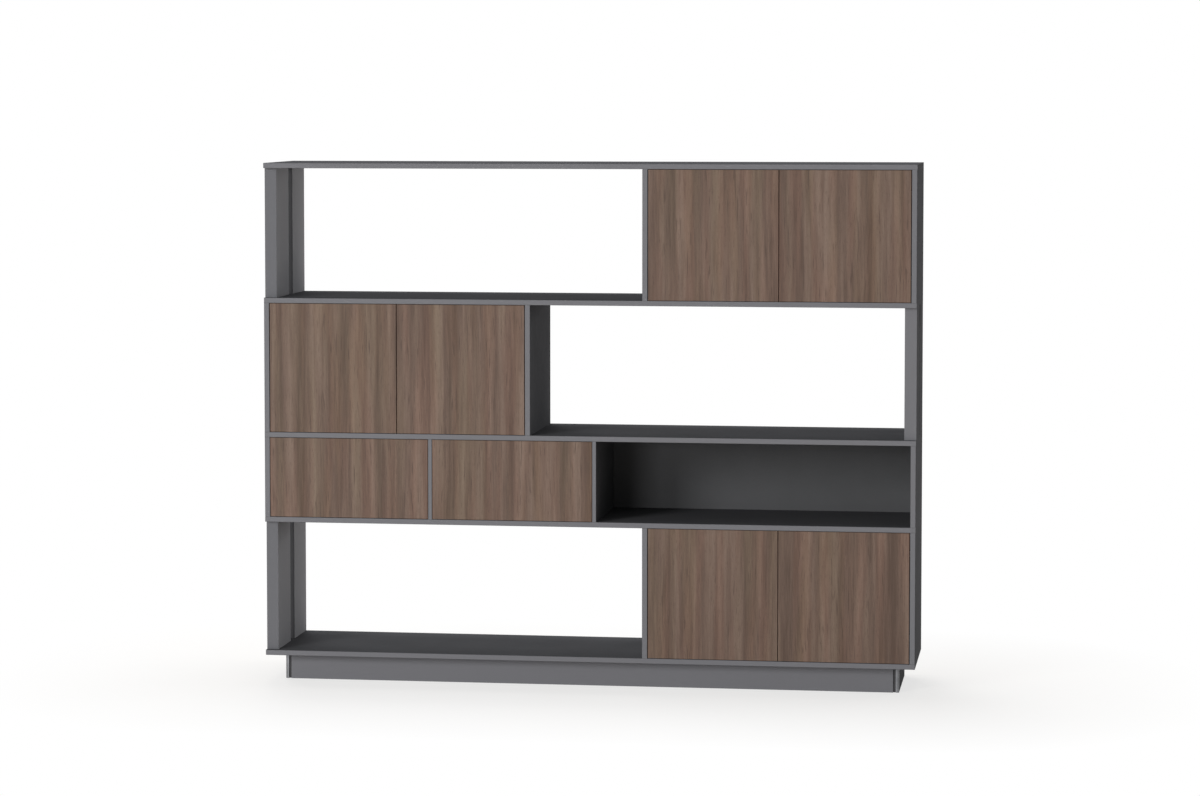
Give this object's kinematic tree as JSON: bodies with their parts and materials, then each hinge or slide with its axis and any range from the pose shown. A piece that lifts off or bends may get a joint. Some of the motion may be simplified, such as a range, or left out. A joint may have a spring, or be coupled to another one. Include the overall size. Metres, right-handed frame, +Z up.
{
  "type": "storage cabinet",
  "caption": "Wide office storage cabinet on a recessed plinth, with staggered open bays, wood-fronted cupboards, push-open doors, drawers and an open niche.",
  "frame": {"origin": "centre of the footprint, on the floor", "axes": "+X along the width to the viewer's right, +Y from the fronts to the back, +Z up"},
  "size_m": [2, 0.4, 1.6],
  "materials": {
    "carcass": "matt dark grey melamine on board with paler edges",
    "back_panel": "matt dark grey melamine on thin board",
    "wood_front": "brown wood decor with an upright grain",
    "drawer_box": "grey melamine on board",
    "corner_profile": "grey anodised",
    "hinge_metal": "nickel plated",
    "runner_steel": "zinc plated",
    "latch_body": "moulded",
    "latch_plunger": "moulded"
  },
  "bodies": {
    "cabinet": {"top_board": "carcass", "upper_shelf": "carcass", "middle_shelf": "carcass", "lower_shelf": "carcass", "bottom_board": "carcass", "upper_divider": "carcass", "upper_end": "carcass", "middle_end": "carcass", "middle_divider": "carcass", "lower_divider": "carcass", "lower_end": "carcass", "drawer_row_end": "carcass", "drawer_divider": "carcass", "niche_divider": "carcass", "niche_end": "carcass", "upper_left_posts": "carcass", "middle_right_posts": "carcass", "lower_left_posts": "carcass", "plinth_front": "carcass", "plinth_rear": "carcass", "plinth_ends": "carcass", "plinth_rails": "carcass", "upper_back": "back_panel", "middle_back": "back_panel", "drawer_row_back": "back_panel", "lower_back": "back_panel", "plinth_corners": "corner_profile", "hinge_arms": "hinge_metal", "hinge_plates": "hinge_metal", "latch_housings": "latch_body", "outer_runners": "runner_steel"},
    "upper_left_door": {"upper_left_door": "wood_front", "upper_left_hinge_cups": "hinge_metal"},
    "upper_left_plunger": {"upper_left_plunger": "latch_plunger"},
    "upper_right_door": {"upper_right_door": "wood_front", "upper_right_hinge_cups": "hinge_metal"},
    "upper_right_plunger": {"upper_right_plunger": "latch_plunger"},
    "middle_left_door": {"middle_left_door": "wood_front", "middle_left_hinge_cups": "hinge_metal"},
    "middle_left_plunger": {"middle_left_plunger": "latch_plunger"},
    "middle_right_door": {"middle_right_door": "wood_front", "middle_right_hinge_cups": "hinge_metal"},
    "middle_right_plunger": {"middle_right_plunger": "latch_plunger"},
    "lower_left_door": {"lower_left_door": "wood_front", "lower_left_hinge_cups": "hinge_metal"},
    "lower_left_plunger": {"lower_left_plunger": "latch_plunger"},
    "lower_right_door": {"lower_right_door": "wood_front", "lower_right_hinge_cups": "hinge_metal"},
    "lower_right_plunger": {"lower_right_plunger": "latch_plunger"},
    "left_drawer": {"left_drawer_front": "wood_front", "left_drawer_box": "drawer_box", "left_drawer_bottom": "drawer_box", "left_drawer_inner_runners": "runner_steel"},
    "left_drawer_middle_runners": {"left_drawer_middle_runners": "runner_steel"},
    "right_drawer": {"right_drawer_front": "wood_front", "right_drawer_box": "drawer_box", "right_drawer_bottom": "drawer_box", "right_drawer_inner_runners": "runner_steel"},
    "right_drawer_middle_runners": {"right_drawer_middle_runners": "runner_steel"}
  },
  "joints": [
    {"name": "upper_left_door_hinge", "type": "hinge", "parent": "cabinet", "child": "upper_left_door", "pos_m": [0.20984, -0.192, 1.385], "axis": [0, 0, -1], "range_deg": [0, 95]},
    {"name": "upper_right_door_hinge", "type": "hinge", "parent": "cabinet", "child": "upper_right_door", "pos_m": [0.96216, -0.192, 1.385], "axis": [0, 0, 1], "range_deg": [0, 95]},
    {"name": "upper_left_plunger_press", "type": "slide", "parent": "cabinet", "child": "upper_left_plunger", "axis": [0, 1, 0], "range_m": [0, 0.003], "stiffness_N_per_m": 300},
    {"name": "upper_right_plunger_press", "type": "slide", "parent": "cabinet", "child": "upper_right_plunger", "axis": [0, 1, 0], "range_m": [0, 0.003], "stiffness_N_per_m": 300},
    {"name": "middle_left_door_hinge", "type": "hinge", "parent": "cabinet", "child": "middle_left_door", "pos_m": [-0.96216, -0.192, 0.971], "axis": [0, 0, -1], "range_deg": [0, 95]},
    {"name": "middle_right_door_hinge", "type": "hinge", "parent": "cabinet", "child": "middle_right_door", "pos_m": [-0.20984, -0.192, 0.971], "axis": [0, 0, 1], "range_deg": [0, 95]},
    {"name": "middle_left_plunger_press", "type": "slide", "parent": "cabinet", "child": "middle_left_plunger", "axis": [0, 1, 0], "range_m": [0, 0.003], "stiffness_N_per_m": 300},
    {"name": "middle_right_plunger_press", "type": "slide", "parent": "cabinet", "child": "middle_right_plunger", "axis": [0, 1, 0], "range_m": [0, 0.003], "stiffness_N_per_m": 300},
    {"name": "lower_left_door_hinge", "type": "hinge", "parent": "cabinet", "child": "lower_left_door", "pos_m": [0.20984, -0.192, 0.295], "axis": [0, 0, -1], "range_deg": [0, 95]},
    {"name": "lower_right_door_hinge", "type": "hinge", "parent": "cabinet", "child": "lower_right_door", "pos_m": [0.96216, -0.192, 0.295], "axis": [0, 0, 1], "range_deg": [0, 95]},
    {"name": "lower_left_plunger_press", "type": "slide", "parent": "cabinet", "child": "lower_left_plunger", "axis": [0, 1, 0], "range_m": [0, 0.003], "stiffness_N_per_m": 300},
    {"name": "lower_right_plunger_press", "type": "slide", "parent": "cabinet", "child": "lower_right_plunger", "axis": [0, 1, 0], "range_m": [0, 0.003], "stiffness_N_per_m": 300},
    {"name": "left_drawer_slide", "type": "slide", "parent": "cabinet", "child": "left_drawer", "axis": [0, -1, 0], "range_m": [0, 0.3]},
    {"name": "left_drawer_middle_slide", "type": "slide", "parent": "cabinet", "child": "left_drawer_middle_runners", "axis": [0, -1, 0], "range_m": [0, 0.15]},
    {"name": "right_drawer_slide", "type": "slide", "parent": "cabinet", "child": "right_drawer", "axis": [0, -1, 0], "range_m": [0, 0.3]},
    {"name": "right_drawer_middle_slide", "type": "slide", "parent": "cabinet", "child": "right_drawer_middle_runners", "axis": [0, -1, 0], "range_m": [0, 0.15]}
  ],
  "couplings": [
    {"joint": "left_drawer_middle_slide", "follows": "left_drawer_slide", "ratio": 0.5},
    {"joint": "right_drawer_middle_slide", "follows": "right_drawer_slide", "ratio": 0.5}
  ]
}
